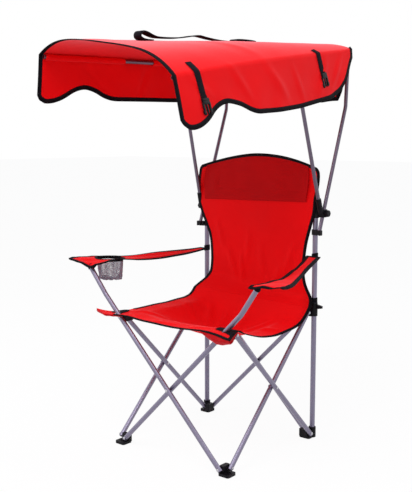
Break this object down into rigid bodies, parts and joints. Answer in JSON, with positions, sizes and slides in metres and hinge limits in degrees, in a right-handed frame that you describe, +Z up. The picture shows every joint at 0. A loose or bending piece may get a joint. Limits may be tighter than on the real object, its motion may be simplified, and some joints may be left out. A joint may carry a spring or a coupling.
{
  "type": "canopy folding chair",
  "caption": "Folding camp chair with crossed steel tubes, fabric sling seat and back, fabric armrests with a cup holder, and a tilting sun canopy on bent rods.",
  "frame": {"origin": "on the floor, under the middle of the whole chair's box; the centre of the four feet is 39.5 mm behind it", "axes": "+Z up, the chair faces -Y, +X towards the sitter's left hand"},
  "size_m": [0.9072, 0.9652, 1.3734],
  "materials": {
    "tube": "grey enamel, satin",
    "plastic": "black, moulded",
    "rivet": "plated",
    "fabric": "red woven polyester with black binding",
    "mesh": "grey mesh",
    "webbing": "black webbing"
  },
  "bodies": {
    "rear_left_upright": {"foot_rear_left": "plastic", "upright_left": "tube", "canopy_bracket_left": "plastic", "rod_clip_left": "plastic", "back": "fabric", "rivet_foot_rear_left_a": "rivet", "rivet_foot_rear_left_b": "rivet"},
    "left_tube_from_rear": {"left_tube_rear_foot": "tube", "rivet_crossing_left": "rivet"},
    "left_tube_from_front": {"left_tube_front_foot": "tube"},
    "front_left_foot": {"foot_front_left": "plastic", "rivet_foot_front_left_a": "rivet", "rivet_foot_front_left_b": "rivet"},
    "rear_left_slider": {"hub_rear_left": "plastic", "rivet_hub_rear_left_a": "rivet", "rivet_hub_rear_left_b": "rivet"},
    "front_left_hub": {"hub_front_left": "plastic", "rivet_hub_front_left_a": "rivet", "rivet_hub_front_left_b": "rivet"},
    "front_tube_from_left": {"front_tube_left_foot": "tube", "rivet_crossing_front": "rivet"},
    "front_tube_from_right": {"front_tube_right_foot": "tube"},
    "rear_tube_from_left": {"rear_tube_left_foot": "tube", "rivet_crossing_rear": "rivet"},
    "rear_tube_from_right": {"rear_tube_right_foot": "tube"},
    "rear_right_upright": {"foot_rear_right": "plastic", "upright_right": "tube", "canopy_bracket_right": "plastic", "rod_clip_right": "plastic", "rivet_foot_rear_right_a": "rivet", "rivet_foot_rear_right_b": "rivet"},
    "rear_right_slider": {"hub_rear_right": "plastic", "rivet_hub_rear_right_a": "rivet", "rivet_hub_rear_right_b": "rivet"},
    "right_tube_from_rear": {"right_tube_rear_foot": "tube", "rivet_crossing_right": "rivet"},
    "right_tube_from_front": {"right_tube_front_foot": "tube"},
    "front_right_foot": {"foot_front_right": "plastic", "rivet_foot_front_right_a": "rivet", "rivet_foot_front_right_b": "rivet"},
    "front_right_hub": {"hub_front_right": "plastic", "rivet_hub_front_right_a": "rivet", "rivet_hub_front_right_b": "rivet"},
    "seat_front_half": {"seat_front": "fabric"},
    "seat_rear_half": {"seat_rear": "fabric"},
    "left_armrest": {"armrest_left": "fabric", "cup_holder": "mesh"},
    "right_armrest": {"armrest_right": "fabric"},
    "canopy_on_left_rods": {"rod_holder_left": "plastic", "front_canopy_rod_left": "tube", "rear_canopy_rod_left": "tube", "canopy": "fabric", "carry_strap": "webbing"},
    "canopy_rods_right": {"rod_holder_right": "plastic", "front_canopy_rod_right": "tube", "rear_canopy_rod_right": "tube", "canopy_strap_front": "webbing", "canopy_strap_rear": "webbing"},
    "left_knob": {"canopy_knob_left": "plastic"},
    "right_knob": {"canopy_knob_right": "plastic"}
  },
  "joints": [
    {"name": "fold", "type": "hinge", "parent": "rear_left_upright", "child": "left_tube_from_rear", "pos_m": [-0.2315, 0.2525, 0.021], "axis": [-1, 0, 0], "range_deg": [0, 40.3], "deforming": ["back", "seat_front", "seat_rear", "armrest_left", "armrest_right", "cup_holder", "canopy"]},
    {"name": "left_scissor", "type": "hinge", "parent": "left_tube_from_rear", "child": "left_tube_from_front", "pos_m": [-0.24, 0.0395, 0.234], "axis": [1, 0, 0], "range_deg": [0, 80.65]},
    {"name": "front_left_foot_hinge", "type": "hinge", "parent": "left_tube_from_front", "child": "front_left_foot", "pos_m": [-0.2485, -0.1735, 0.021], "axis": [-1, 0, 0], "range_deg": [0, 40.35]},
    {"name": "rear_left_slider_hinge", "type": "hinge", "parent": "left_tube_from_front", "child": "rear_left_slider", "pos_m": [-0.2485, 0.2525, 0.447], "axis": [-1, 0, 0], "range_deg": [0, 40.35]},
    {"name": "front_left_hub_hinge", "type": "hinge", "parent": "left_tube_from_rear", "child": "front_left_hub", "pos_m": [-0.2315, -0.1735, 0.447], "axis": [1, 0, 0], "range_deg": [0, 40.35]},
    {"name": "front_tube_hinge", "type": "hinge", "parent": "front_left_foot", "child": "front_tube_from_left", "pos_m": [-0.213, -0.192, 0.021], "axis": [0, -1, 0], "range_deg": [0, 40.35]},
    {"name": "front_scissor", "type": "hinge", "parent": "front_tube_from_left", "child": "front_tube_from_right", "pos_m": [0, -0.2005, 0.234], "axis": [0, 1, 0], "range_deg": [0, 80.65]},
    {"name": "rear_tube_hinge", "type": "hinge", "parent": "rear_left_upright", "child": "rear_tube_from_left", "pos_m": [-0.213, 0.288, 0.021], "axis": [0, -1, 0], "range_deg": [0, 40.35]},
    {"name": "rear_scissor", "type": "hinge", "parent": "rear_tube_from_left", "child": "rear_tube_from_right", "pos_m": [0, 0.2795, 0.234], "axis": [0, 1, 0], "range_deg": [0, 80.65]},
    {"name": "rear_right_foot_hinge", "type": "hinge", "parent": "rear_tube_from_right", "child": "rear_right_upright", "pos_m": [0.213, 0.271, 0.021], "axis": [0, -1, 0], "range_deg": [0, 40.35]},
    {"name": "rear_right_slider_hinge", "type": "hinge", "parent": "rear_tube_from_left", "child": "rear_right_slider", "pos_m": [0.213, 0.288, 0.447], "axis": [0, 1, 0], "range_deg": [0, 40.35]},
    {"name": "right_tube_hinge", "type": "hinge", "parent": "rear_right_upright", "child": "right_tube_from_rear", "pos_m": [0.2485, 0.2525, 0.021], "axis": [-1, 0, 0], "range_deg": [0, 40.35]},
    {"name": "right_scissor", "type": "hinge", "parent": "right_tube_from_rear", "child": "right_tube_from_front", "pos_m": [0.24, 0.0395, 0.234], "axis": [1, 0, 0], "range_deg": [0, 80.65]},
    {"name": "front_right_foot_hinge", "type": "hinge", "parent": "right_tube_from_front", "child": "front_right_foot", "pos_m": [0.2315, -0.1735, 0.021], "axis": [-1, 0, 0], "range_deg": [0, 40.35]},
    {"name": "front_right_hub_hinge", "type": "hinge", "parent": "right_tube_from_rear", "child": "front_right_hub", "pos_m": [0.2485, -0.1735, 0.447], "axis": [1, 0, 0], "range_deg": [0, 40.35]},
    {"name": "seat_front_fold", "type": "hinge", "parent": "front_left_hub", "child": "seat_front_half", "pos_m": [0, -0.1735, 0.459], "axis": [1, 0, 0], "range_deg": [0, 83.05]},
    {"name": "seat_rear_fold", "type": "hinge", "parent": "rear_left_slider", "child": "seat_rear_half", "pos_m": [0, 0.2525, 0.47], "axis": [-1, 0, 0], "range_deg": [0, 83.05]},
    {"name": "left_armrest_fold", "type": "hinge", "parent": "front_tube_from_right", "child": "left_armrest", "pos_m": [-0.358, -0.209, 0.607], "axis": [-0.936, -0.3412, -0.0863], "range_deg": [0, 73.1]},
    {"name": "right_armrest_fold", "type": "hinge", "parent": "front_tube_from_left", "child": "right_armrest", "pos_m": [0.345, -0.192, 0.607], "axis": [-0.9476, 0.3101, 0.0764], "range_deg": [0, 75.88]},
    {"name": "canopy_tilt", "type": "hinge", "parent": "rear_left_upright", "child": "canopy_on_left_rods", "pos_m": [-0.2635, 0.2905, 0.789], "axis": [1, 0, 0], "range_deg": [0, 25]},
    {"name": "right_canopy_tilt", "type": "hinge", "parent": "rear_right_upright", "child": "canopy_rods_right", "pos_m": [0.2635, 0.2905, 0.789], "axis": [1, 0, 0], "range_deg": [0, 25.05]},
    {"name": "left_knob_turn", "type": "hinge", "parent": "rear_left_upright", "child": "left_knob", "pos_m": [-0.2635, 0.2905, 0.789], "axis": [-1, 0, 0], "continuous": true},
    {"name": "right_knob_turn", "type": "hinge", "parent": "rear_right_upright", "child": "right_knob", "pos_m": [0.2635, 0.2905, 0.789], "axis": [1, 0, 0], "continuous": true}
  ],
  "couplings": [
    {"joint": "left_scissor", "follows": "fold", "ratio": 2},
    {"joint": "front_left_foot_hinge", "follows": "fold", "ratio": 1},
    {"joint": "rear_left_slider_hinge", "follows": "fold", "ratio": 1},
    {"joint": "front_left_hub_hinge", "follows": "fold", "ratio": 1},
    {"joint": "front_tube_hinge", "follows": "fold", "ratio": 1},
    {"joint": "front_scissor", "follows": "fold", "ratio": 2},
    {"joint": "rear_tube_hinge", "follows": "fold", "ratio": 1},
    {"joint": "rear_scissor", "follows": "fold", "ratio": 2},
    {"joint": "rear_right_foot_hinge", "follows": "fold", "ratio": 1},
    {"joint": "rear_right_slider_hinge", "follows": "fold", "ratio": 1},
    {"joint": "right_tube_hinge", "follows": "fold", "ratio": 1},
    {"joint": "right_scissor", "follows": "fold", "ratio": 2},
    {"joint": "front_right_foot_hinge", "follows": "fold", "ratio": 1},
    {"joint": "front_right_hub_hinge", "follows": "fold", "ratio": 1},
    {"joint": "seat_front_fold", "follows": "fold", "ratio": 2.0596},
    {"joint": "seat_rear_fold", "follows": "fold", "ratio": 2.0596},
    {"joint": "left_armrest_fold", "follows": "fold", "ratio": 1.8127},
    {"joint": "right_armrest_fold", "follows": "fold", "ratio": 1.8816},
    {"joint": "right_canopy_tilt", "follows": "canopy_tilt", "ratio": 1}
  ]
}
